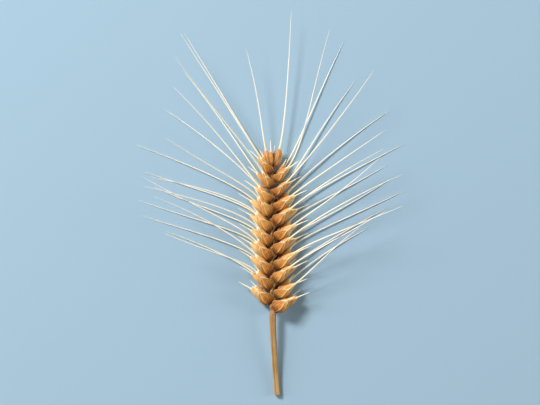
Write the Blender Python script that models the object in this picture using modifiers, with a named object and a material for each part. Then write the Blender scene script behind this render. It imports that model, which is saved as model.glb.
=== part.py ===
"""Ripe bearded wheat ear with a short length of its straw, cut and laid on a table.

Metres, +Z up. The ear lies along +Y, the straw's cut end first, and rests on the plane z = 0. Spikelets
sit by turns on the +X and -X sides of the rachis. Each spikelet's front face looks up (+Z), its back
face looks down at the table (-Z). The origin is under the middle of the whole ear, awns included.
"""

import math

import bmesh
import bpy
from mathutils import Matrix, Vector

# Driving dimensions, in metres and degrees
INTERNODE = 0.00365  # along the rachis from one spikelet to the next, on the other side
LATERAL = 20  # spikelets along both sides, the sterile ones included
STERILE = 2  # small ones at the foot of the ear, which carry no awns
STERILE_SIZE = 0.95  # of a full spikelet
STERILE_MIDDLE = 0.72  # the height of their middle floret, as a share of a full one
TERMINAL_SIZE = 0.8
TERMINAL_RISE = 0.0009  # from the last node up to the foot of the terminal spikelet
SMALLER_AT_FOOT = 0.05  # how much smaller spikelets get towards the foot of the ear
SMALLER_AT_TOP = 0.2  # and towards its top
LEAN_AT_FOOT = 41.0  # of a spikelet away from the ear's line
LEAN = 29.0
LEAN_AT_TOP = 20.0
LEAN_SPREAD = 2.0
COLLAR = Vector((0.0013, -0.0575, 0.0061))  # where the straw ends and the rachis begins
STRAW_LENGTH = 0.040
STRAW_RADIUS = 0.00155
STRAW_LEAN = 0.0024  # sideways, from the collar to the cut
COLLAR_RADIUS = 0.0021
SHOULDER_RADIUS = 0.0013  # where the collar meets the rachis
RACHIS_RADIUS = 0.0006
RACHIS_SWING = 0.0005  # how far each node stands off the rachis's middle line
FIRST_NODE = 0.4  # of an internode, from the collar to the lowest node
RACHIS_DIP = 0.3  # of an internode, from a node down to where the rachis swings back the other way
NODE_SWELL = 1.12  # a node's radius against the radius between nodes
SEAT = 0.0012  # from a rachis node to the foot of its spikelet
HUSK_LENGTH = 0.0113
HUSK_RADIUS = 0.0020
HUSK_FOOT = 0.0009  # from the spikelet's foot up to the foot of its lower side floret
HUSK_STEP = 0.0009  # from there up to the foot of the other side floret
HUSK_STANCE = 0.0014  # from the spikelet's middle line to the foot of a side floret
FAN = 13.5  # how far a side floret leans away from that middle line
BEND = 0.0016  # how far a spikelet's tip curves out, away from the rachis
SWAY = 3.5  # how far the lower side floret leans out from the rachis and the other leans in
GLUME_LENGTH = 0.0092
GLUME_WALL = 0.0003
GLUME_WRAP = 78.0  # how far a glume reaches round its floret on either side, near its foot
GLUME_TIP_WRAP = 6.0  # and at its tip
GLUME_ROOT = 0.00055  # half the width, and the height, of the strip where the two glumes join
GLUME_ROWS = 5  # rows of faces up each glume
GLUME_COLUMNS = 5  # and across it
GAP = 0.0003  # clearance between one piece and the next
AWN_ROOT_RADIUS = 0.00027
AWN_TIP_RADIUS = 0.0001
AWN_STEPS = 7
AWN_CROWDING = 1.35  # above 1, the points of an awn stand closer together near its root
MIDDLE_AWN = 0.008
MIDDLE_LEAN = 0.0009  # how far the tip of the middle floret's awn leans out
AWN_SPLAY_AT_FOOT = 64.0  # of the awns away from the ear's line, to the left
AWN_SPLAY = 74.0
AWN_SPLAY_AT_TOP = 27.0
RIGHT_AWNS_STEEPER = 9.0
FRONT_AWNS_STEEPER = 3.0
FRONT_SPLAY_SPREAD = 9.0
BACK_SPLAY_SPREAD = 2.0
FRONT_RISE = 15.0  # of the front awns above the level
FRONT_RISE_SPREAD = 9.0
AWN_LENGTH_AT_FOOT = 0.050
AWN_LENGTH = 0.062
AWN_LENGTH_AT_TOP = 0.071
AWN_LENGTH_SPREAD = 0.09
# The terminal spikelet's two awns: label, face of the spikelet, splay, rise and length
TERMINAL_AWNS = (("left", 1.0, -11.0, 9.0, 0.052), ("right", -1.0, 3.0, 4.0, 0.070))

# A floret's radius as a share of HUSK_RADIUS, against its share of HUSK_LENGTH
HUSK_PROFILE = ((0.0, 0.24), (0.1, 0.55), (0.26, 0.87), (0.43, 1.0), (0.6, 0.96), (0.78, 0.7), (0.92, 0.34))
# The middle floret on its rachilla: height and radius in metres, up to the root of its short awn
MIDDLE_PROFILE = (
    (-0.0002, 0.00042), (0.0012, 0.00027), (0.0048, 0.00030), (0.0074, 0.00050), (0.0096, 0.00120),
    (0.0116, 0.00120), (0.0134, 0.00060), (0.0146, 0.00024),
)

STRAW_COLOUR = (0.66, 0.45, 0.19, 1.0)
GLUME_COLOUR = (0.72, 0.50, 0.22, 1.0)
FLORET_COLOUR = (0.83, 0.66, 0.36, 1.0)

EAR_LINE = Vector((0.0, 1.0, 0.0))
AWN_SHARES = [((i + 1) / AWN_STEPS) ** AWN_CROWDING for i in range(AWN_STEPS)]


def ease(t):
    """0 to 1 along a smooth step."""
    t = min(max(t, 0.0), 1.0)
    return t * t * (3.0 - 2.0 * t)


def between(low, high, t):
    return low + (high - low) * t


def vary(k, kind):
    """A steady spread of values from -1 to 1, one for each spikelet and kind of variation."""
    return math.sin(2.39996 * k * (1.0 + 0.31 * kind) + 1.7 * kind)


def side_of(k):
    return 1.0 if k % 2 == 0 else -1.0


def height_share(k):
    """0 at the lowest spikelet, 1 at the highest of the side ones."""
    return k / (LATERAL - 1)


def size_of(k):
    """Spikelets are largest a little below the middle of the ear."""
    h = height_share(k)
    return 1.0 - SMALLER_AT_FOOT * (1.0 - ease(h / 0.25)) - SMALLER_AT_TOP * ease((h - 0.55) / 0.45)


def towards(splay, rise):
    """A direction that leaves the ear's line by splay degrees to +X and climbs by rise degrees."""
    a, e = math.radians(splay), math.radians(rise)
    return Vector((math.sin(a) * math.cos(e), math.cos(a) * math.cos(e), math.sin(e)))


def spine(y):
    """The middle line of straw and rachis: the straw droops to the table and leans to +X."""
    t = max(0.0, (COLLAR.y - y) / STRAW_LENGTH)
    x = COLLAR.x + STRAW_LEAN * t**1.4
    z = between(COLLAR.z, STRAW_RADIUS, ease(t))
    return Vector((x, y, z))


def rachis_node(k):
    swing = side_of(k) * RACHIS_SWING if k < LATERAL else 0.0
    return spine(COLLAR.y + (k + FIRST_NODE) * INTERNODE) + Vector((swing, 0.0, 0.0))


class Seat:
    """A spikelet's place: its foot, the way it points, the way it faces out, and its broad direction."""

    def __init__(self, foot, along, out, size, bend):
        self.foot = foot
        self.frame = Matrix((out, along, out.cross(along))).transposed()
        self.size = size
        self.bend = bend

    def bent(self, local):
        """A point of the spikelet in its own axes, moved out as the spikelet curves."""
        return (local + Vector((self.bend * (local.y / HUSK_LENGTH) ** 2, 0.0, 0.0))) * self.size

    def place(self, local):
        return self.foot + self.frame @ self.bent(local)


def lateral_seat(k):
    h = height_share(k)
    lean = between(LEAN_AT_FOOT, between(LEAN, LEAN_AT_TOP, ease((h - 0.6) / 0.4)), ease(h / 0.25))
    lean += LEAN_SPREAD * vary(k, 1)
    side = side_of(k)
    along = towards(side * lean, 0.0)
    out = towards(side * (lean + 90.0), 0.0)
    size = size_of(k) * (STERILE_SIZE if k < STERILE else 1.0)
    return Seat(rachis_node(k) + Vector((side * SEAT, 0.0, 0.0)), along, out, size, BEND)


def terminal_seat():
    foot = rachis_node(LATERAL) + EAR_LINE * TERMINAL_RISE
    return Seat(foot, EAR_LINE, Vector((0.0, 0.0, 1.0)), TERMINAL_SIZE, 0.0)


def floret_foot(face):
    """The foot of a side floret in its spikelet: the one on the +broad side (face 1) sits lower."""
    height = HUSK_FOOT if face > 0 else HUSK_FOOT + HUSK_STEP
    return Vector((0.0, height, face * HUSK_STANCE))


def floret_heading(face):
    """The way a side floret points, with its part along the spikelet's middle line equal to 1."""
    return Vector((face * math.tan(math.radians(SWAY)), 1.0, face * math.tan(math.radians(FAN))))


def awn_line(start, heading, finish, length, on_table):
    """Points of an awn that leaves start along heading and soon bends round to finish."""
    points = []
    place = start.copy()
    for previous, t in zip((0.0, *AWN_SHARES), AWN_SHARES):
        way = heading.lerp(finish, ease((previous + t) / 0.8))
        place = place + way.normalized() * (length * (t - previous))
        if on_table:
            lying = between(AWN_ROOT_RADIUS, AWN_TIP_RADIUS, t)
            place.z = between(start.z, lying, ease(t / 0.6))
        points.append(place.copy())
    return points


def awn_plan(k, facing):
    """The way an awn ends up pointing, and its length, for spikelet k's front (+1) or back (-1) floret."""
    h = height_share(k)
    upper = between(AWN_SPLAY, AWN_SPLAY_AT_TOP, ease((h - 0.58) / 0.45))
    splay = between(AWN_SPLAY_AT_FOOT, upper, ease(h / 0.3))
    if side_of(k) > 0:
        splay -= RIGHT_AWNS_STEEPER
    if facing > 0:
        splay += FRONT_SPLAY_SPREAD * vary(k, 2) - FRONT_AWNS_STEEPER
        rise = FRONT_RISE + FRONT_RISE_SPREAD * vary(k, 3)
    else:
        splay += BACK_SPLAY_SPREAD * vary(k, 4)
        rise = 0.0
    upper = between(AWN_LENGTH, AWN_LENGTH_AT_TOP, ease((h - 0.6) / 0.4))
    length = between(AWN_LENGTH_AT_FOOT, upper, ease(h / 0.4))
    length *= 1.0 + AWN_LENGTH_SPREAD * vary(k, 5 + facing)
    return towards(side_of(k) * splay, rise), length


def swept(name, line, radii, origin, roundness):
    """A round bar of changing radius along a line of points, as a bevelled curve with its ends filled."""
    curve = bpy.data.curves.new(name, "CURVE")
    curve.dimensions = "3D"
    curve.bevel_depth = max(radii)
    curve.bevel_resolution = roundness
    curve.use_fill_caps = True
    spline = curve.splines.new("POLY")
    spline.points.add(len(line) - 1)
    for point, place, radius in zip(spline.points, line, radii, strict=True):
        point.co = (*(place - origin), 1.0)
        point.radius = radius / curve.bevel_depth
    made = bpy.data.objects.new(name, curve)
    made.location = origin
    return made


def side_floret(name, seat, face, finish, length, on_table):
    """A side floret's husk with its awn: one curve whose radius swells for the husk and thins to the tip."""
    foot = floret_foot(face)
    heading = floret_heading(face).normalized() * HUSK_LENGTH
    line = [seat.place(foot + heading * share) for share, _ in HUSK_PROFILE]
    radii = [radius * HUSK_RADIUS * seat.size for _, radius in HUSK_PROFILE]
    tip = seat.place(foot + heading)
    line.append(tip)
    radii.append(AWN_ROOT_RADIUS)
    line += awn_line(tip, (tip - line[-2]).normalized(), finish, length, on_table)
    radii += [between(AWN_ROOT_RADIUS, AWN_TIP_RADIUS, t) for t in AWN_SHARES]
    return swept(name, line, radii, seat.foot, 1)


def husk_radius(y):
    """The radius of a full-size side floret at a height y above its foot."""
    share = y / HUSK_LENGTH
    for (s0, r0), (s1, r1) in zip(HUSK_PROFILE, HUSK_PROFILE[1:]):
        if share <= s1:
            return HUSK_RADIUS * between(r0, r1, max(0.0, (share - s0) / (s1 - s0)))
    return HUSK_RADIUS * HUSK_PROFILE[-1][1]


def glume_place(across, along):
    """A point of the strip that forms both glumes: across and along run from -1 to 1, and along is 0 at
    the foot, where the two are joined under the florets."""
    rows = abs(along) * GLUME_ROWS
    if rows < 0.5:
        return Vector((across * GLUME_ROOT, 0.0002, 0.0))
    face = math.copysign(1.0, along)
    share = (rows - 1.0) / (GLUME_ROWS - 1.0)
    foot = floret_foot(face)
    y = between(GLUME_ROOT, foot.y + GLUME_LENGTH, share)
    wrap = math.radians(between(GLUME_WRAP, GLUME_TIP_WRAP, ease((share - 0.4) / 0.6)))
    radius = husk_radius(y - foot.y) + GAP + GLUME_WALL
    middle = foot + floret_heading(face) * (y - foot.y)
    return middle + Vector((math.sin(across * wrap), 0.0, face * math.cos(across * wrap))) * radius


def glume_pair(name, seat, middle_share):
    """Two boat-shaped glumes joined at the foot, with the rachilla and the middle floret that it carries."""
    sheet = bmesh.new()
    bmesh.ops.create_grid(sheet, x_segments=GLUME_COLUMNS, y_segments=2 * GLUME_ROWS, size=1.0)
    for vert in sheet.verts:
        vert.co = seat.bent(glume_place(vert.co.x, vert.co.y))
    bmesh.ops.recalc_face_normals(sheet, faces=sheet.faces)
    mesh = bpy.data.meshes.new(name)
    sheet.to_mesh(mesh)
    sheet.free()
    pair = bpy.data.objects.new(name, mesh)
    pair.location = seat.foot
    pair.rotation_euler = seat.frame.to_euler()
    wall = pair.modifiers.new("wall", "SOLIDIFY")
    wall.thickness = GLUME_WALL
    wall.offset = 0.0

    line = [Vector((0.0002, height * middle_share, 0.0)) for height, _ in MIDDLE_PROFILE]
    radii = [radius * seat.size for _, radius in MIDDLE_PROFILE]
    line.append(line[-1] + Vector((MIDDLE_LEAN, MIDDLE_AWN, 0.0)) * middle_share)
    radii.append(AWN_TIP_RADIUS)
    rachilla = as_mesh(swept(name + "_rachilla", [seat.bent(p) for p in line], radii, Vector(), 1))
    rachilla.location = seat.foot
    rachilla.rotation_euler = seat.frame.to_euler()
    join = pair.modifiers.new("join", "BOOLEAN")
    join.operation = "UNION"
    join.object = rachilla
    return pair


def as_mesh(curve_object):
    """The same shape as a closed mesh in the helpers' collection, in place of the curve."""
    HELPERS.objects.link(curve_object)
    graph = bpy.context.evaluated_depsgraph_get()
    mesh = bpy.data.meshes.new_from_object(curve_object.evaluated_get(graph))
    shape = bmesh.new()
    shape.from_mesh(mesh)
    bmesh.ops.remove_doubles(shape, verts=shape.verts, dist=1e-7)
    bmesh.ops.recalc_face_normals(shape, faces=shape.faces)
    shape.to_mesh(mesh)
    shape.free()
    made = bpy.data.objects.new(curve_object.name + "_mesh", mesh)
    made.matrix_world = curve_object.matrix_world
    made.hide_render = True
    made.display_type = "WIRE"
    HELPERS.objects.link(made)
    bpy.data.objects.remove(curve_object)
    return made


def straw_and_rachis():
    """The straw from its cut end to the collar, then the zigzag rachis with a swelling at each node."""
    line, radii = [], []
    for share in (1.0, 0.8, 0.6, 0.4, 0.2, 0.05):
        line.append(spine(COLLAR.y - share * STRAW_LENGTH))
        radii.append(between(COLLAR_RADIUS, STRAW_RADIUS, ease(share / 0.45)))
    line.append(COLLAR)
    radii.append(SHOULDER_RADIUS)
    for k in range(LATERAL + 1):
        radius = RACHIS_RADIUS * between(1.15, 0.75, k / LATERAL)
        node = rachis_node(k)
        dip = Vector((side_of(k) * RACHIS_SWING, RACHIS_DIP * INTERNODE, 0.0))
        line.append(node - dip)
        radii.append(radius)
        line.append(node)
        radii.append(radius * NODE_SWELL)
    return swept("stem_and_rachis", line, radii, Vector(), 2)


def material(name, colour, roughness):
    made = bpy.data.materials.new(name)
    made.use_nodes = True
    surface = made.node_tree.nodes["Principled BSDF"]
    surface.inputs["Base Color"].default_value = colour
    surface.inputs["Roughness"].default_value = roughness
    surface.inputs["Metallic"].default_value = 0.0
    return made


def add(piece, finish):
    EAR.objects.link(piece)
    piece.data.materials.append(finish)


for old in list(bpy.data.objects):
    bpy.data.objects.remove(old)
EAR = bpy.data.collections.new("wheat_ear")
HELPERS = bpy.data.collections.new("helpers")
for group in (EAR, HELPERS):
    bpy.context.scene.collection.children.link(group)

straw = material("straw", STRAW_COLOUR, 0.45)
chaff = material("glume", GLUME_COLOUR, 0.5)
husk = material("floret", FLORET_COLOUR, 0.5)

add(straw_and_rachis(), straw)
for k in range(LATERAL):
    seat = lateral_seat(k)
    if k < STERILE:
        add(glume_pair(f"sterile_spikelet_{k + 1:02d}", seat, STERILE_MIDDLE), chaff)
        continue
    name = f"spikelet_{k + 1:02d}"
    add(glume_pair(name + "_glumes_and_middle_floret", seat, 1.0), chaff)
    for facing, label in ((1.0, "front"), (-1.0, "back")):
        finish, length = awn_plan(k, facing)
        # A spikelet on the +X side has its broad direction up, one on the other side has it down
        face = facing * side_of(k)
        add(side_floret(f"{name}_{label}_floret", seat, face, finish, length, facing < 0), husk)

seat = terminal_seat()
add(glume_pair("terminal_spikelet_glumes_and_middle_floret", seat, 1.0), chaff)
for label, face, splay, rise, length in TERMINAL_AWNS:
    name = f"terminal_spikelet_{label}_floret"
    add(side_floret(name, seat, face, towards(splay, rise), length, False), husk)
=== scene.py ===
"""A ripe bearded wheat ear with a short length of its straw, cut and laid on a pale table."""

import math

import bmesh
import bpy
from mathutils import Matrix, Vector


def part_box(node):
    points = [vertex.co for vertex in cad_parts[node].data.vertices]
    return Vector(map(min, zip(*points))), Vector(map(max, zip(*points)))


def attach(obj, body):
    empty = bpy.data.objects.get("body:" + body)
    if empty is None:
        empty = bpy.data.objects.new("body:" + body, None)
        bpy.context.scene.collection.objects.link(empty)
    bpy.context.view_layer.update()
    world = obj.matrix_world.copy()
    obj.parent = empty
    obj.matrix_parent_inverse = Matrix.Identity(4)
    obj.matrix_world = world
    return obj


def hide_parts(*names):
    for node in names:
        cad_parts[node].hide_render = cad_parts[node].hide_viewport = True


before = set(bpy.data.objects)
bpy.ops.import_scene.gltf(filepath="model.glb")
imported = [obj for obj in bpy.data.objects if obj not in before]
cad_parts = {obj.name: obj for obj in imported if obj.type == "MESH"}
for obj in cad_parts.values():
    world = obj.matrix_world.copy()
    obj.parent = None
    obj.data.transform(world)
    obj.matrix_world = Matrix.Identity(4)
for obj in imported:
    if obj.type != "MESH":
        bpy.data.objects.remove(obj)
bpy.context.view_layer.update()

# ---- Straw and rachis ------------------------------------------------------------------------------
# The top of a ripe stalk, and the zigzag rachis that grows on from its collar, in one piece. The straw
# is a dry, finely grooved tube, cut square. The rachis is flattened, with a node under each spikelet and
# a ring of short stiff hairs at each node.

STRAW_LENGTH = 0.040
STRAW_RADIUS = 0.00155
STRAW_LEAN = 0.0024  # sideways, at its cut end
STRAW_CURVE = 1.4  # how late the lean sets in
BORE_RADIUS = 0.00095
BORE_DEPTH = 0.008
COLLAR_RADIUS = 0.0021  # of the CAD's collar; the straw's own is a little slimmer
NECK_RADIUS = 0.00165  # of the straw just below its collar
NECK_TAPER = 0.45  # the share of the straw that swells towards the neck
COLLAR_RING = 0.00008  # how far the ring below the collar stands out
RING_DROP = 0.0005
RING_WIDTH = 0.0004
SHOULDER = 0.0050  # the height over which the straw turns into rachis
INTERNODE = 0.00365
FIRST_NODE = 0.4  # of an internode, from the collar up to the lowest node
LATERAL = 20  # spikelets along both sides
RACHIS_SWING = 0.0005  # to each side in turn, at its nodes
RACHIS_WIDTH = 0.00095  # from its middle line, as its depth is
RACHIS_DEPTH = 0.0013
RACHIS_AT_FOOT = 1.15  # times its width and depth
RACHIS_AT_TOP = 0.75
RACHIS_STUB = 0.3  # of an internode, above the last node
RACHIS_CLOSING = 0.985  # the share of the rachis where its end starts to close
NODE_SWELL = 0.14
GROOVES = 18
GROOVE_DEPTH = 0.05
# Painted shade and highlight on the straw: dark stripes, turned so that from above one runs left of its
# middle and a pale line runs near its top, laid over its own banding
SHADE_STRIPES = 4  # dark ones round the straw
HIGHLIGHT_STRIPE = 0.53  # where a pale one runs, in turns round the straw; its upper side is at 0.5
STRAW_STEPS = 60
RACHIS_STEPS = 200
STEM_AROUND = 6 * GROOVES
MERGE = 1e-7  # points nearer than this become one
EAR_LINE = Vector((0.0, 1.0, 0.0))
UP = Vector((0.0, 0.0, 1.0))

stem_low, stem_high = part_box("stem_and_rachis")
COLLAR = Vector((stem_low.x + COLLAR_RADIUS, stem_low.y + STRAW_LENGTH, stem_high.z - COLLAR_RADIUS))


def ease(t):
    """0 to 1 along a smooth step."""
    t = min(max(t, 0.0), 1.0)
    return t * t * (3.0 - 2.0 * t)


def between(low, high, t):
    """The value that is a share t of the way from low to high."""
    return low + (high - low) * t


def bump(x, middle, width):
    """1 at the middle, falling smoothly to 0 a few widths away."""
    return math.exp(-(((x - middle) / width) ** 2))


SPREAD_TURN = 2.39996  # radians from one k to the next
KIND_TURN = 0.31
KIND_START = 1.7


def vary(k, kind):
    """A steady spread of values from -1 to 1, one for each k and kind of variation."""
    return math.sin(SPREAD_TURN * k * (1.0 + KIND_TURN * kind) + KIND_START * kind)


class Wire:
    """A socket among a finish's shader nodes. Arithmetic on it adds the Math nodes that work it out."""

    def __init__(self, finish, socket):
        self.finish = finish
        self.socket = socket

    def math(self, operation, first, second=0.0):
        return self.finish.node("ShaderNodeMath", {"operation": operation}, {0: first, 1: second})

    def __add__(self, other):
        return self.math("ADD", self, other)

    def __sub__(self, other):
        return self.math("SUBTRACT", self, other)

    def __rsub__(self, other):
        return self.math("SUBTRACT", other, self)

    def __mul__(self, other):
        return self.math("MULTIPLY", self, other)

    def __abs__(self):
        return self.math("ABSOLUTE", self)

    __radd__ = __add__
    __rmul__ = __mul__

    def rise(self, low, high):
        """0 up to low, 1 from high on and smooth between; with low above high, it falls instead."""
        ends = {"Value": self, "From Min": low, "From Max": high}
        return self.finish.node("ShaderNodeMapRange", {"interpolation_type": "SMOOTHSTEP"}, ends)

    def wave(self, turns):
        """From 1 to -1 and back, turns times while this runs from 0 to 1."""
        return self.math("COSINE", self * (math.tau * turns))


class Finish:
    """The surface of a dry plant part: shader nodes that all end in one Principled shader."""

    def __init__(self, name):
        self.material = bpy.data.materials.new(name)
        self.material.use_nodes = True
        self.surface = self.material.node_tree.nodes["Principled BSDF"]
        self.grain = self.node("ShaderNodeUVMap", {"uv_map": "grain"}, {})
        self.across = self.node("ShaderNodeSeparateXYZ", {}, {"Vector": self.grain}, "X")
        self.along = self.node("ShaderNodeSeparateXYZ", {}, {"Vector": self.grain}, "Y")
        self.place = self.node("ShaderNodeTexCoord", {}, {}, "Object")
        self.outward = abs(self.node("ShaderNodeSeparateXYZ", {}, {"Vector": self.place}, "X") - COLLAR.x)
        self.tone = self.node("ShaderNodeAttribute", {"attribute_name": "tone"}, {}, "Fac")

    def node(self, kind, settings, inputs, output=0):
        """Adds a node, with its settings and then what goes into it, and gives one of its outputs."""
        made = self.material.node_tree.nodes.new(kind)
        for name, value in settings.items():
            setattr(made, name, value)
        for name, value in inputs.items():
            self.feed(made.inputs[name], value)
        return Wire(self, made.outputs[output])

    def feed(self, socket, value):
        if isinstance(value, Wire):
            self.material.node_tree.links.new(value.socket, socket)
        else:
            socket.default_value = value

    def mottle(self, size):
        """Cloudy patches about size across, from 0 to 1."""
        inputs = {"Vector": self.place, "Scale": 1.0 / size, "Detail": 3.0}
        return self.node("ShaderNodeTexNoise", {}, inputs)

    def fibres(self, across, along):
        """Fine streaks that run the length of the piece, from 0 to 1."""
        stretched = {0: self.grain, 1: (across, along, 1.0)}
        inputs = {"Vector": self.node("ShaderNodeVectorMath", {"operation": "MULTIPLY"}, stretched)}
        return self.node("ShaderNodeTexNoise", {}, inputs | {"Scale": 1.0, "Detail": 3.0})

    def mix(self, share, first, second):
        return self.node("ShaderNodeMix", {"data_type": "RGBA"}, {0: share, 6: first, 7: second}, 2)

    def end(self, colour, roughness, relief, depth):
        """Ends the nodes: relief, from 0 to 1, stands out by depth."""
        self.feed(self.surface.inputs["Base Color"], colour)
        self.feed(self.surface.inputs["Roughness"], roughness)
        bumps = {"Strength": 1.0, "Distance": depth, "Height": relief}
        self.feed(self.surface.inputs["Normal"], self.node("ShaderNodeBump", {}, bumps))


def skin(shape, across, along, place):
    """Adds a grid with its UV map, and moves each point to place(u, v), where u and v run from 0 to 1."""
    made = bmesh.ops.create_grid(shape, x_segments=across, y_segments=along, size=0.5, calc_uvs=True)
    for vert in made["verts"]:
        vert.co = place(vert.co.x + 0.5, vert.co.y + 0.5)


def tube(shape, around, line, up, outline):
    """Adds a tube along a line of points. outline(turn, i) gives its half width and half depth at point i;
    a turn of 0 is on its upper side."""
    last = len(line) - 1
    rings = []
    for i, middle in enumerate(line):
        ahead = line[min(i + 1, last)] - line[max(i - 1, 0)]
        right = ahead.cross(up).normalized()
        rings.append((middle, right, right.cross(ahead).normalized()))

    def place(u, v):
        i = round(v * last)
        middle, right, above = rings[i]
        turn = (u - 0.5) * math.tau
        wide, deep = outline(turn, i)
        return middle + right * (wide * math.sin(turn)) + above * (deep * math.cos(turn))

    skin(shape, around, last, place)


def new_shape():
    shape = bmesh.new()
    shape.loops.layers.uv.new("grain")
    return shape


def finished(name, shape, finish, nodes, tone=0.0, wall=0.0):
    """Makes a piece of a shape and its finish, in place of the CAD nodes that it stands for."""
    bmesh.ops.remove_doubles(shape, verts=shape.verts, dist=MERGE)
    bmesh.ops.recalc_face_normals(shape, faces=shape.faces)
    mesh = bpy.data.meshes.new(name)
    shape.to_mesh(mesh)
    shape.free()
    mesh.shade_smooth()
    mesh.materials.append(finish.material)
    tones = mesh.attributes.new("tone", "FLOAT", "POINT")
    tones.data.foreach_set("value", [tone] * len(mesh.vertices))
    piece = bpy.data.objects.new(name, mesh)
    bpy.context.scene.collection.objects.link(piece)
    if wall:
        thickness = piece.modifiers.new("wall", "SOLIDIFY")
        thickness.thickness = wall
        thickness.offset = 0.0
    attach(piece, "root")
    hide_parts(*nodes)


def spine(y):
    """The middle line: the straw droops to the table and leans, and the rachis swings at its nodes."""
    below = max(0.0, (COLLAR.y - y) / STRAW_LENGTH)
    above = (y - COLLAR.y) / INTERNODE - FIRST_NODE
    swing = RACHIS_SWING * math.cos(math.pi * above) * ease(above + FIRST_NODE) * ease(LATERAL - above)
    x = COLLAR.x + STRAW_LEAN * below**STRAW_CURVE + swing
    return Vector((x, y, between(COLLAR.z, STRAW_RADIUS, ease(below))))


rachis_top = COLLAR.y + (LATERAL + FIRST_NODE + RACHIS_STUB) * INTERNODE
stem_heights = [COLLAR.y - STRAW_LENGTH * (1.0 - i / STRAW_STEPS) for i in range(STRAW_STEPS)]
stem_heights += [between(COLLAR.y, rachis_top, i / RACHIS_STEPS) for i in range(RACHIS_STEPS + 1)]


def stem_outline(turn, i):
    """The stem's half width and half depth at its point i: a grooved round straw, then a flat rachis."""
    y = stem_heights[i]
    below = (COLLAR.y - y) / STRAW_LENGTH
    straw = between(NECK_RADIUS, STRAW_RADIUS, ease(below / NECK_TAPER))
    straw += COLLAR_RING * bump(y, COLLAR.y - RING_DROP, RING_WIDTH)
    straw *= 1.0 - GROOVE_DEPTH * (0.5 - 0.5 * math.cos(GROOVES * turn)) ** 2
    height = (y - COLLAR.y) / (rachis_top - COLLAR.y)
    node = math.cos(math.tau * ((y - COLLAR.y) / INTERNODE - FIRST_NODE))
    taper = between(RACHIS_AT_FOOT, RACHIS_AT_TOP, height) * (1.0 + NODE_SWELL * node)
    taper *= 1.0 - ease((height - RACHIS_CLOSING) / (1.0 - RACHIS_CLOSING))
    change = ease((y - COLLAR.y) / SHOULDER)
    return between(straw, RACHIS_WIDTH * taper, change), between(straw, RACHIS_DEPTH * taper, change)


def extruded(shape, rim):
    """Leaves a hole's rim sharp, extrudes it, and gives the new rim's edges and its points."""
    for edge in rim:
        edge.smooth = False
    made = bmesh.ops.extrude_edge_only(shape, edges=rim)["geom"]
    edges = [part for part in made if isinstance(part, bmesh.types.BMEdge) and part.is_boundary]
    return edges, [part for part in made if isinstance(part, bmesh.types.BMVert)]


shape = new_shape()
tube(shape, STEM_AROUND, [spine(y) for y in stem_heights], UP, stem_outline)
bmesh.ops.remove_doubles(shape, verts=shape.verts, dist=MERGE)
cut = spine(stem_low.y)
narrower = Vector((1.0, 1.0, 1.0)) * (BORE_RADIUS / STRAW_RADIUS)
rim, points = extruded(shape, [edge for edge in shape.edges if edge.is_boundary])
bmesh.ops.scale(shape, vec=narrower, space=Matrix.Translation(-cut), verts=points)
rim, points = extruded(shape, rim)
bmesh.ops.translate(shape, vec=spine(stem_low.y + BORE_DEPTH) - cut, verts=points)
bmesh.ops.edgeloop_fill(shape, edges=rim)

OLD_GOLD = (0.48, 0.30, 0.10, 1.0)
PALE_GOLD = (0.62, 0.44, 0.20, 1.0)
SHADE_STRIPE_BROWN = (0.24, 0.11, 0.026, 1.0)
STRIPE_CREAM = (0.80, 0.66, 0.38, 1.0)
NECK_BROWN = (0.33, 0.135, 0.028, 1.0)
STREAK_CREAM = (0.80, 0.62, 0.34, 1.0)
STREAK_BROWN = (0.26, 0.12, 0.03, 1.0)
GROOVE_SHADE_BROWN = (0.24, 0.12, 0.035, 1.0)

straw = Finish("dry_straw")
ripe = straw.mottle(0.006)
ribs = straw.across.wave(GROOVES) * -0.5 + 0.5
streaks = straw.fibres(120.0, 7.0)
collar_share = STRAW_STEPS / (STRAW_STEPS + RACHIS_STEPS)
near_ear = straw.along.rise(collar_share * 0.5, collar_share * 1.05)
bands = straw.fibres(9.0, 1.5)
# Painted shade and highlight: dark stripes turned to the view from above, with the pale line between them
# near the top, laid over the straw's own banding
sides = (straw.across - HIGHLIGHT_STRIPE).wave(SHADE_STRIPES).rise(0.3, -0.8)
gold = straw.mix(ripe.rise(0.35, 0.65), OLD_GOLD, PALE_GOLD)
gold = straw.mix(sides * (bands * 0.9 + 0.35), gold, SHADE_STRIPE_BROWN)
gold = straw.mix(bands.rise(0.54, 0.64) * 0.6, gold, STRIPE_CREAM)
gold = straw.mix(near_ear * 0.8, gold, NECK_BROWN)
gold = straw.mix(streaks.rise(0.5, 0.7) * 0.5, gold, STREAK_CREAM)
gold = straw.mix(streaks.rise(0.5, 0.3) * 0.5, gold, STREAK_BROWN)
# Painted shade: darker down the grooves between the ribs
gold = straw.mix((1.0 - ribs) * 0.5, gold, GROOVE_SHADE_BROWN)
straw.end(gold, 0.26 + streaks * 0.25, ribs * 0.5 + streaks * 0.5, 0.00008)
finished("straw_and_rachis", shape, straw, ["stem_and_rachis"])

HAIRS = 22  # round each node
HAIR_LENGTH = 0.0013
HAIR_SPREAD = 0.35  # how far their lengths differ
HAIR_BAND = 0.0005  # how far up and down from its node a hair may stand
HAIR_RADIUS = 0.00004
HAIR_TIP_RADIUS = 0.000005
HAIR_RISE = 0.8  # how far a hair leans up the rachis
HAIR_SEAT = 0.9  # where it starts, as a share of the way out to the rachis's surface
HAIR_TAN = (0.85, 0.72, 0.46, 1.0)
HAIR_WHITE = (0.97, 0.90, 0.72, 1.0)

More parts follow.
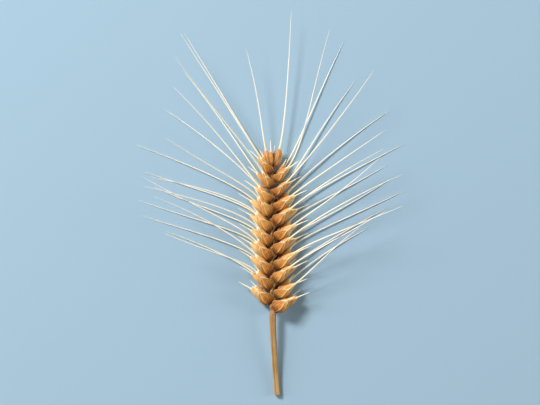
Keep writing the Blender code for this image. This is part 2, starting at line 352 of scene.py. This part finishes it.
shape = new_shape()
for k in range(LATERAL):
    node = spine(COLLAR.y + (k + FIRST_NODE) * INTERNODE)
    for i in range(HAIRS):
        turn = math.tau * (i + 0.5 * vary(i, k)) / HAIRS
        rise = HAIR_BAND * vary(i, k + 1)
        edge = Vector((RACHIS_WIDTH * math.sin(turn), rise, RACHIS_DEPTH * math.cos(turn)))
        aim = (edge.normalized() + EAR_LINE * HAIR_RISE).normalized()
        length = HAIR_LENGTH * (1.0 + HAIR_SPREAD * vary(i, k + 2))
        middle = node + edge * HAIR_SEAT + aim * (length / 2)
        stand = Matrix.Translation(middle) @ aim.to_track_quat("Z", "Y").to_matrix().to_4x4()
        ends = {"radius1": HAIR_RADIUS, "radius2": HAIR_TIP_RADIUS}
        bmesh.ops.create_cone(shape, cap_ends=True, segments=3, depth=length, matrix=stand, **ends)
down = Finish("pale_hair")
down.end(down.mix(down.mottle(0.001), HAIR_TAN, HAIR_WHITE), 0.5, down.mottle(0.0002), 0.00001)
finished("rachis_hairs", shape, down, ["stem_and_rachis"])

# ---- Glumes ----------------------------------------------------------------------------------------
# The two boat-shaped scales at the foot of each spikelet, of stiff papery chaff. Each wraps round the
# back of a side floret, with a raised keel that ends in a beak, fine veins and thin pale margins.

STERILE = 2  # spikelets at the foot of the ear, which have no long awns
STERILE_SIZE = 1.03  # times what their place gives
TERMINAL_SIZE = 0.88
TERMINAL_RISE = -0.0004  # from the rachis's last node up to its foot
TERMINAL_BREADTH = 1.15
FOOT_SHARE = 0.25  # of the ear, over which the differences at its foot fade out
TAPER_SHARE = 0.45  # of the ear, over which spikelets get smaller to its top
STRAIGHTENING_SHARE = 0.4  # of the ear, over which they lean out less and less
SMALLER_AT_FOOT = 0.05
SMALLER_AT_TOP = 0.2
LEAN_AT_FOOT = 36.0  # degrees out from the ear's line, as the next three are
LEAN = 29.0
LEAN_AT_TOP = 20.0
LEAN_SPREAD = 3.0
ROLL_SPREAD = math.radians(12.0)  # how far spikelets turn about their own length
SIZE_SPREAD = 0.04
RIPE_AT_FOOT = 0.35
RIPE_AT_TOP = 0.65
RIPE_SPREAD = 0.35
SEAT = 0.0008  # from a rachis node to the foot of its spikelet
BEND = 0.0016  # how far a spikelet's tip curves out
FOOT_BREADTH = 0.24  # how much broader spikelets get towards the foot of the ear
REST = 0.00012  # how far chaff that lies on the table stays above it

HUSK_LENGTH = 0.0113
HUSK_RADIUS = 0.0020
HUSK_FOOT = 0.0009  # from a spikelet's foot up to the lower of its side florets
HUSK_STEP = 0.0009  # and from there up to the other
HUSK_STANCE = 0.0014  # from the middle of a spikelet to the foot of a side floret
HUSK_FLATNESS = 1.14  # a husk's width against its depth
SWELL_AT_FOOT = 0.6  # a husk swells as this power of the way from its foot
SWELL_AT_TIP = 0.75
SWELL_PEAK = 0.395  # the most that the two powers give together
FAN = math.tan(math.radians(13.5))  # of a side floret away from the other
SWAY = math.tan(math.radians(3.5))  # and away from the rachis or towards it

GLUME_LENGTH = 0.0082
GLUME_ROOT = 0.0004
GLUME_TUCK = 0.0008  # how far its root reaches in to the node
GLUME_WALL = 0.00014
GLUME_GAP = 0.00032  # to the husk that it wraps round
GLUME_WRAP = math.radians(88.0)
GLUME_TIP_WIDTH = 0.3  # of its full wrap
GLUME_WIDE_UP_TO = 0.35  # of its length
GLUME_NARROWING = 0.68  # of its length, over which it narrows from there
GLUME_HUG = 0.45  # the share of the husk along which the glume follows it closely
STANDING_OFF = 0.44  # how closely it follows the rest, from 0 to 1
STANDING_OFF_SPREAD = 0.08
SHOULDER_DROP = 0.19  # how much shorter its margins are than its keel
SHOULDER_SPREAD = 0.05
SOFTNESS = 0.12  # rounds the glume's start at the foot of its husk
CALLUS_RADIUS = 0.0006  # of the hard foot where a spikelet joins its node
CALLUS_LENGTH = 0.0034
CALLUS_STANCE = 0.25  # of the full stance, at the very foot
KEEL = 0.2  # where the keel runs, from -1 at the inner margin to 1 at the outer one
KEEL_HEIGHT = 0.00030
KEEL_WIDTH = 0.1
KEEL_CENTRED_FROM = 0.5  # of its length, from where the keel moves to its middle
VEIN_HEIGHT = 0.00005
VEINS = 8
VEIN_END = 0.1  # of its length, over which the veins fade out at the tip
RELIEF_START = 0.1  # of its length, where keel and veins begin to stand out
RELIEF_GROWTH = 0.3
BEAK = 0.0019
BEAK_WIDTH = 0.12
BEAK_START = 0.88  # of the glume's length
WING = 0.0015  # how much wider the margin next to the rachis is
WING_MIDDLE = 0.28  # where it is widest, as a share of the husk's length
WING_SPREAD = 0.25
GLUME_ACROSS = 40
GLUME_ALONG = 44


def towards(splay):
    """The level direction that leaves the ear's line by splay degrees, to +X."""
    return Vector((math.sin(math.radians(splay)), math.cos(math.radians(splay)), 0.0))


def ripeness(k, kind):
    """How far a spikelet's chaff has ripened and paled, from 0 to 1: more towards the top of the ear."""
    return between(RIPE_AT_FOOT, RIPE_AT_TOP, k / LATERAL) + RIPE_SPREAD * vary(k, kind)


class Spikelet:
    """One spikelet's place: its foot, size and axes, which run out from the rachis, along it and across."""

    def __init__(self, k):
        self.k = k
        self.side = 1.0 if k % 2 == 0 else -1.0
        self.node = spine(COLLAR.y + (k + FIRST_NODE) * INTERNODE)
        if k == LATERAL:
            self.stand_at_the_tip()
        else:
            self.stand_at_the_side(k / (LATERAL - 1))
        if k < STERILE:
            self.name = self.chaff_node = f"sterile_spikelet_{k + 1:02d}"
            self.size *= STERILE_SIZE
        else:
            self.name = "terminal_spikelet" if k == LATERAL else f"spikelet_{k + 1:02d}"
            self.chaff_node = self.name + "_glumes_and_middle_floret"

    def stand_at_the_tip(self):
        self.foot = self.node + EAR_LINE * TERMINAL_RISE
        self.size = TERMINAL_SIZE
        self.bend = 0.0
        self.breadth = TERMINAL_BREADTH
        self.turn(UP, EAR_LINE)

    def stand_at_the_side(self, height):
        """Sets the spikelet at a height that runs from 0 to 1 up the ear."""
        lowest = 1.0 - ease(height / FOOT_SHARE)
        taper = ease((height - 1.0 + TAPER_SHARE) / TAPER_SHARE)
        straightening = ease((height - 1.0 + STRAIGHTENING_SHARE) / STRAIGHTENING_SHARE)
        self.foot = Vector((COLLAR.x + self.side * (RACHIS_SWING + SEAT), self.node.y, COLLAR.z))
        self.size = 1.0 - SMALLER_AT_FOOT * lowest - SMALLER_AT_TOP * taper
        self.size *= 1.0 + SIZE_SPREAD * vary(self.k, 4)
        self.bend = BEND
        self.breadth = 1.0 + FOOT_BREADTH * lowest
        lean = between(between(LEAN, LEAN_AT_TOP, straightening), LEAN_AT_FOOT, lowest)
        lean += LEAN_SPREAD * vary(self.k, 1)
        along = towards(self.side * lean)
        roll = Matrix.Rotation(ROLL_SPREAD * vary(self.k, 3), 3, along)
        self.turn(roll @ towards(self.side * (lean + 90.0)), along)

    def turn(self, out, along):
        """Points the spikelet's first axis out and its second one along."""
        self.axes = Matrix((out, along, out.cross(along))).transposed()

    def place(self, local):
        """Where a point given in the spikelet's own axes comes to be."""
        curve = Vector((self.bend * (local.y / HUSK_LENGTH) ** 2, 0.0, 0.0))
        point = self.foot + self.axes @ (local + curve) * self.size
        point.z = max(point.z, REST)
        return point


def husk_swell(share):
    """A husk's radius as a share of its largest, from foot to tip."""
    share = min(max(share, 0.0), 1.0)
    return share**SWELL_AT_FOOT * (1.0 - share) ** SWELL_AT_TIP / SWELL_PEAK


def husk_foot(face):
    """Where a side floret starts, on the spikelet's face 1 or its face -1."""
    return Vector((0.0, HUSK_FOOT if face > 0 else HUSK_FOOT + HUSK_STEP, face * HUSK_STANCE))


def husk_heading(face):
    """Where that floret points."""
    return Vector((face * SWAY, 1.0, face * FAN))


def glume_place(spikelet, face, u, v):
    """A point of a glume: u runs from its inner margin to its outer one, and v from its foot to its beak."""
    k = spikelet.k
    across = 2.0 * u - 1.0
    foot = husk_foot(face)
    drop = SHOULDER_DROP + SHOULDER_SPREAD * vary(k, 6 + face)
    shoulder = 1.0 - drop * abs(across - KEEL) ** 1.5
    y = between(-GLUME_ROOT, foot.y + GLUME_LENGTH * shoulder, v)
    y += BEAK * bump(across, KEEL, BEAK_WIDTH) * ease((v - BEAK_START) / (1.0 - BEAK_START))
    share = (y - foot.y) / HUSK_LENGTH
    standing_off = STANDING_OFF + STANDING_OFF_SPREAD * vary(k, 8 + face)
    hugging = share if share < GLUME_HUG else between(GLUME_HUG, share, standing_off)
    growth = ease((y + GLUME_ROOT) / CALLUS_LENGTH)
    narrowing = between(1.0, GLUME_TIP_WIDTH, ease((v - GLUME_WIDE_UP_TO) / GLUME_NARROWING))
    ripple = math.cos(math.pi * VEINS * (across - KEEL)) * ease((1.0 - v) / VEIN_END)
    relief = VEIN_HEIGHT * narrowing * ripple + KEEL_HEIGHT * bump(across, KEEL, KEEL_WIDTH)
    relief *= ease((v - RELIEF_START) / RELIEF_GROWTH)
    softly = 0.5 * (hugging + math.hypot(hugging, SOFTNESS))
    radius = HUSK_RADIUS * husk_swell(softly) + GLUME_GAP + relief
    radius = between(CALLUS_RADIUS, radius, growth)
    centring = ease((v - KEEL_CENTRED_FROM) / (1.0 - KEEL_CENTRED_FROM))
    angle = (across - KEEL * centring) * GLUME_WRAP * narrowing
    middle = foot + husk_heading(face) * (y - foot.y)
    middle.z *= between(CALLUS_STANCE, 1.0, growth)
    middle.x -= GLUME_TUCK * (1.0 - growth)
    wing = WING * ease(-across) * bump(share, WING_MIDDLE, WING_SPREAD)
    wide = math.sin(angle) * radius * HUSK_FLATNESS - wing
    return spikelet.place(middle + Vector((wide * spikelet.breadth, 0.0, face * math.cos(angle) * radius)))


SHADED_BROWN = (0.13, 0.028, 0.003, 1.0)
RUST = (0.42, 0.130, 0.012, 1.0)
AMBER = (0.70, 0.31, 0.045, 1.0)
RIPE_GOLD = (0.86, 0.50, 0.12, 1.0)
RACHIS_SHADE_BROWN = (0.17, 0.036, 0.003, 1.0)
RIM_HIGHLIGHT_GOLD = (0.86, 0.52, 0.14, 1.0)
VEIN_GOLD = (0.82, 0.46, 0.12, 1.0)
DARK_STREAK = (0.22, 0.055, 0.005, 1.0)
MARGIN_CREAM = (0.93, 0.72, 0.34, 1.0)
KEEL_HIGHLIGHT_CREAM = (0.94, 0.72, 0.34, 1.0)
TIP_CREAM = (0.96, 0.83, 0.53, 1.0)

chaff = Finish("papery_glume")
patches = chaff.mottle(0.0017)
from_keel = chaff.across - (KEEL + 1.0) / 2.0
veins = from_keel.wave(VEINS) * 0.5 + 0.5
keel = from_keel.wave(1.0).rise(0.94, 1.0)
margins = chaff.across.wave(1.0).rise(0.72, 1.0)
streaks = chaff.fibres(90.0, 3.0)
# Painted shade: darker near the ear's middle line, where the spikelets meet the rachis
rachis_shade = chaff.outward.rise(0.0034, 0.0010)
# Painted highlight: paler towards the ear's outer edges, where the side lights catch the chaff; it also
# brightens margins and keels there
rim_highlight = chaff.outward.rise(0.0038, 0.0090)
# Painted shade: dark towards each glume's foot, down among the spikelets by the rachis; patches, ripe tone
# and veins show only above it
grown = chaff.along.rise(0.06, 0.55)
colour = chaff.mix(grown, SHADED_BROWN, RUST)
colour = chaff.mix(patches.rise(0.42, 0.6) * grown * 0.6, colour, AMBER)
colour = chaff.mix(chaff.tone.rise(0.35, 1.0) * grown * 0.4, colour, RIPE_GOLD)
colour = chaff.mix(rachis_shade * 0.5, colour, RACHIS_SHADE_BROWN)
colour = chaff.mix(rim_highlight * (chaff.tone * 0.4 + 0.3), colour, RIM_HIGHLIGHT_GOLD)
colour = chaff.mix(veins.rise(0.7, 1.0) * grown * 0.35, colour, VEIN_GOLD)
colour = chaff.mix(streaks.rise(0.5, 0.75) * 0.55, colour, DARK_STREAK)
colour = chaff.mix(margins * (rim_highlight * 0.5 + 0.3), colour, MARGIN_CREAM)
# Painted highlight along the raised keel, stronger towards the ear's outer edges
colour = chaff.mix(keel * (rim_highlight * 0.45 + 0.35), colour, KEEL_HIGHLIGHT_CREAM)
colour = chaff.mix(chaff.along.rise(0.82, 1.0) * 0.85, colour, TIP_CREAM)
chaff.end(colour, 0.42 + streaks * 0.3, veins * 0.4 + streaks * 0.6, 0.00008)

spikelets = [Spikelet(k) for k in range(LATERAL + 1)]
for spikelet in spikelets:
    shape = new_shape()
    for face in (1.0, -1.0):
        skin(shape, GLUME_ACROSS, GLUME_ALONG, lambda u, v: glume_place(spikelet, face, u, v))
    tone = ripeness(spikelet.k, 9)
    finished(spikelet.name + "_glumes", shape, chaff, [spikelet.chaff_node], tone, GLUME_WALL)

# ---- Side florets ----------------------------------------------------------------------------------
# The two lowest florets of each spikelet. Each is a husk closed round a grain, a rounded lemma that laps
# over a flatter palea, and its long stiff awn grows on from the lemma's tip. Front awns stand out and back
# ones lie on the table; the terminal spikelet, a quarter turn round, has its two left and right.

HUSK_RINGS = 32
AWN_RINGS = 36
HUSK_AROUND = 36
HUSK_WAIST = 0.24  # the share of a husk, near its foot, that is drawn in
WAIST_RADIUS = 0.5
WAIST_STANCE = 0.4
LAP = math.radians(118.0)  # from the middle of the lemma's back round to its edge
LAP_WIDTH = 0.14
LAP_START = 0.15  # of the husk's length, over which ribs and lap grow in
LAP_END = 0.12  # and over which they fade out at its tip
RIBS = 9  # round the whole husk
RIB_HEIGHT = 0.025  # of the husk's radius, as the palea's three sizes are
PALEA_STEP = 0.10
PALEA_FLATNESS = 0.14
PALEA_CREASE = 0.05
CREASE_AT = LAP + 0.5
HUSK_ROUNDING = 0.3  # of the husk's length, over which its flat outline turns round to its tip
AWN_ROOT_RADIUS = 0.0004
AWN_TIP_RADIUS = 0.0002
AWN_BOW = 0.0026
AWN_START = 0.16  # of an awn's length, over which its husk's direction pulls on it
AWN_CURVE = 0.45  # how far on from there its second pull is
LYING_START = 0.35  # how far down to the table a lying awn's two pulls are
LYING_CURVE = 0.8


def lapped(turn, share):
    """A husk's outline: 1 round the ribbed lemma, and less over the palea that it laps."""
    away = abs(turn)
    edge = ease((away - LAP) / LAP_WIDTH)
    fullness = ease(share / LAP_START) * ease((1.0 - share) / LAP_END)
    ribbing = RIB_HEIGHT * math.cos(RIBS * turn) * (1.0 - edge)
    palea = edge * (PALEA_STEP + PALEA_FLATNESS * ease((away - LAP) / (math.pi - LAP)))
    palea -= PALEA_CREASE * bump(away, CREASE_AT, LAP_WIDTH)
    return 1.0 + (ribbing - palea) * fullness


def bent(start, first, second, end, t):
    """A point of the curve from start to end that two points pull on."""
    s = 1.0 - t
    return start * s**3 + first * (3.0 * s * s * t) + second * (3.0 * s * t * t) + end * t**3


def floret(shape, spikelet, foot, reach, face, radius, awn_end, awn_radius, lying=False, bow=0.0):
    """Adds a husk from foot by reach, in its spikelet's axes, and the awn that runs on to awn_end."""
    line, sizes = [], []
    for i in range(HUSK_RINGS + 1):
        share = 0.5 - 0.5 * math.cos(math.pi * i / HUSK_RINGS)
        grown = ease(share / HUSK_WAIST)
        local = foot + reach * share
        local.z *= between(WAIST_STANCE, 1.0, grown)
        line.append(spikelet.place(local))
        swell = husk_swell(share) * between(WAIST_RADIUS, 1.0, grown)
        sizes.append((radius * spikelet.size * swell + awn_radius * share**3, share))
    tip = line[-1]
    span = awn_end - tip
    first = tip + (tip - line[-2]).normalized() * (span.length * AWN_START)
    second = first.lerp(awn_end, AWN_CURVE) + span.cross(UP).normalized() * bow
    if lying:
        first.z = between(tip.z, awn_end.z, LYING_START)
        second.z = between(tip.z, awn_end.z, LYING_CURVE)
    for i in range(1, AWN_RINGS + 1):
        t = i / AWN_RINGS
        line.append(bent(tip, first, second, awn_end, t))
        sizes.append((between(awn_radius, AWN_TIP_RADIUS, t) * math.sqrt(1.0 - t**5), 1.0))

    def outline(turn, i):
        size, share = sizes[i]
        size *= lapped(turn, share)
        rounding = ease((share - 1.0 + HUSK_ROUNDING) / HUSK_ROUNDING)
        return size * between(HUSK_FLATNESS * spikelet.breadth, 1.0, rounding), size

    tube(shape, HUSK_AROUND, line, spikelet.axes @ Vector((0.0, 0.0, face)), outline)


FOOT_SHADE_BROWN = (0.13, 0.030, 0.004, 1.0)
HUSK_TAN = (0.54, 0.20, 0.025, 1.0)
HUSK_AMBER = (0.72, 0.36, 0.075, 1.0)
HUSK_RIM_HIGHLIGHT = (0.92, 0.66, 0.27, 1.0)
RIB_CREAM = (0.93, 0.75, 0.44, 1.0)
HUSK_STREAK = (0.36, 0.13, 0.020, 1.0)
HUSK_TIP_CREAM = (0.97, 0.86, 0.60, 1.0)
AWN_WHITE = (0.98, 0.95, 0.84, 1.0)

husk = Finish("husk_and_awn")
husk_end = HUSK_RINGS / (HUSK_RINGS + AWN_RINGS)
patches = husk.mottle(0.002)
streaks = husk.fibres(90.0, 3.5)
ribs = husk.across.wave(RIBS) * -0.5 + 0.5
# Painted highlight: paler towards the ear's outer edges, where the side lights catch the husks
rim_highlight = husk.outward.rise(0.0040, 0.0095)
# Painted shade: dark at each husk's foot, deep in its spikelet, lightening to tan up the husk
colour = husk.mix(husk.along.rise(0.0, husk_end * 0.8), FOOT_SHADE_BROWN, HUSK_TAN)
colour = husk.mix(patches.rise(0.4, 0.65) * 0.5, colour, HUSK_AMBER)
colour = husk.mix(rim_highlight * (husk.tone * 0.4 + 0.3), colour, HUSK_RIM_HIGHLIGHT)
colour = husk.mix(ribs.rise(0.6, 1.0) * 0.35, colour, RIB_CREAM)
colour = husk.mix(streaks.rise(0.5, 0.75) * 0.6, colour, HUSK_STREAK)
colour = husk.mix(husk.along.rise(husk_end * 0.76, husk_end * 0.98), colour, HUSK_TIP_CREAM)
colour = husk.mix(husk.along.rise(husk_end * 1.02, husk_end * 1.4) * 0.8, colour, AWN_WHITE)
husk.end(colour, 0.42 + streaks * 0.3, ribs * 0.4 + streaks * 0.6, 0.00008)

for spikelet in spikelets[STERILE:]:
    terminal = spikelet.k == LATERAL
    for label, facing in zip(("left", "right") if terminal else ("front", "back"), (1.0, -1.0)):
        node = f"{spikelet.name}_{label}_floret"
        low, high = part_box(node)
        face = facing if terminal else facing * spikelet.side
        outer = -facing if terminal else spikelet.side
        lying = facing < 0 and not terminal
        end = Vector((high.x if outer > 0 else low.x, high.y, AWN_TIP_RADIUS if lying else high.z))
        reach = husk_heading(face).normalized() * HUSK_LENGTH
        bow = AWN_BOW * vary(spikelet.k, 11.0 + facing)
        shape = new_shape()
        floret(shape, spikelet, husk_foot(face), reach, face, HUSK_RADIUS, end, AWN_ROOT_RADIUS, lying, bow)
        tone = ripeness(spikelet.k, 12)
        finished(f"{spikelet.name}_{label}_husk", shape, husk, [node], tone)

# ---- Middle florets --------------------------------------------------------------------------------
# The smaller florets between the side ones, on the rachilla, the little stalk that joins the spikelet to
# its node and grows up through it. They carry only short awns. In the two lowest spikelets of the ear the
# side florets are small too, and made here with them.

MIDDLE_FLORETS = (  # face, foot up the rachilla, length, radius, lean outwards, awn
    (1.0, 0.0036, 0.0100, 0.00155, 0.22, 0.0062),
    (-1.0, 0.0050, 0.0084, 0.00135, -0.20, 0.0042),
)
MIDDLE_STANCE = 0.0004
MIDDLE_FAN = 0.06
MIDDLE_AWN_RADIUS = 0.00034
LEAN_VARIATION = 0.07
TERMINAL_DROP = 0.4  # how high they start in the terminal spikelet, against the others
SMALL_HUSK = 0.86  # of a full side floret
SMALL_AWN = 0.0030
RACHILLA_RADIUS = 0.00032
RACHILLA_STEP = 0.0008
RACHILLA_POINTS = 11
RACHILLA_TAPER = (2, 4)  # points that keep the callus's thickness, and then points that lose it
RACHILLA_AROUND = 12

for spikelet in spikelets:
    shape = new_shape()
    stalk = [spikelet.node]
    stalk += [spikelet.place(Vector((0.0, RACHILLA_STEP * i, 0.0))) for i in range(RACHILLA_POINTS - 1)]
    kept, lost = RACHILLA_TAPER
    slimness = [ease((i - kept) / lost) for i in range(RACHILLA_POINTS)]
    thickness = [between(CALLUS_RADIUS, RACHILLA_RADIUS, share) for share in slimness]
    thickness[0] = thickness[-1] = 0.0
    broad = spikelet.axes @ Vector((0.0, 0.0, 1.0))
    tube(shape, RACHILLA_AROUND, stalk, broad, lambda turn, i: (thickness[i], thickness[i]))
    for face in (1.0, -1.0) if spikelet.k < STERILE else ():
        reach = husk_heading(face) * (HUSK_LENGTH * SMALL_HUSK)
        end = spikelet.place(husk_foot(face) + reach + reach.normalized() * SMALL_AWN)
        floret(shape, spikelet, husk_foot(face), reach, face, HUSK_RADIUS * SMALL_HUSK, end, AWN_ROOT_RADIUS)
    for face, foot, length, radius, lean, awn in MIDDLE_FLORETS:
        foot *= TERMINAL_DROP if spikelet.k == LATERAL else 1.0
        lean += LEAN_VARIATION * vary(spikelet.k, 13 + face)
        root = Vector((0.0, foot, face * MIDDLE_STANCE))
        aim = Vector((lean, 1.0, face * MIDDLE_FAN)).normalized()
        end = spikelet.place(root + aim * (length + awn))
        floret(shape, spikelet, root, aim * length, face, radius, end, MIDDLE_AWN_RADIUS)
    tone = ripeness(spikelet.k, 14)
    finished(spikelet.name + "_middle_florets", shape, husk, [spikelet.chaff_node], tone)

# ---- Table, light and camera -----------------------------------------------------------------------
# A plain pale table top, soft light from above and along both sides, and a camera that looks straight
# down on the ear, with the straw's cut end at the bottom of the picture.

TABLE_SIZE = 3.0
TABLE_BLUE = (0.30, 0.46, 0.62, 1.0)
TABLE_ROUGHNESS = 0.8

table_shape = bmesh.new()
bmesh.ops.create_grid(table_shape, x_segments=1, y_segments=1, size=TABLE_SIZE / 2)
table_mesh = bpy.data.meshes.new("table_top")
table_shape.to_mesh(table_mesh)
table_shape.free()
table = bpy.data.objects.new("table_top", table_mesh)
bpy.context.scene.collection.objects.link(table)
table_paint = bpy.data.materials.new("table_paint")
table_paint.use_nodes = True
table_surface = table_paint.node_tree.nodes["Principled BSDF"]
table_surface.inputs["Base Color"].default_value = TABLE_BLUE
table_surface.inputs["Roughness"].default_value = TABLE_ROUGHNESS
table_mesh.materials.append(table_paint)


def soft_light(name, place, aim, wide, high, power, colour):
    """A rectangular light, wide by high, that faces aim."""
    lamp = bpy.data.lights.new(name, "AREA")
    lamp.shape = "RECTANGLE"
    lamp.size = wide
    lamp.size_y = high
    lamp.energy = power
    lamp.color = colour
    made = bpy.data.objects.new(name, lamp)
    made.location = place
    made.rotation_euler = (aim - place).to_track_quat("-Z", "Y").to_euler()
    bpy.context.scene.collection.objects.link(made)


middle = Vector((0.0, 0.0, 0.005))
soft_light("sky_light", Vector((-1.0, 1.0, 1.35)), middle, 0.5, 0.5, 44.0, (1.0, 0.95, 0.88))
soft_light("left_light", Vector((-2.0, 0.2, 0.8)), middle, 0.4, 1.2, 18.0, (1.0, 0.94, 0.84))
soft_light("right_light", Vector((2.0, 0.2, 0.8)), middle, 0.4, 1.2, 22.0, (1.0, 0.94, 0.84))

world = bpy.data.worlds.new("soft_room")
world.use_nodes = True
room = world.node_tree.nodes["Background"]
room.inputs["Color"].default_value = (1.0, 0.94, 0.86, 1.0)
room.inputs["Strength"].default_value = 0.18
bpy.context.scene.world = world
bpy.context.scene.view_settings.view_transform = "Standard"

CAMERA_HEIGHT = 1.2
FRAME_HEIGHT = 0.206  # of the table that the camera sees
FRAME_WIDTH = FRAME_HEIGHT * 540 / 405
SENSOR_WIDTH = 36.0
camera = bpy.data.cameras.new("camera")
camera.sensor_width = SENSOR_WIDTH
camera.lens = SENSOR_WIDTH * CAMERA_HEIGHT / FRAME_WIDTH
viewer = bpy.data.objects.new("camera", camera)
viewer.location = (0.0, 0.0, CAMERA_HEIGHT)
bpy.context.scene.collection.objects.link(viewer)
bpy.context.scene.camera = viewer
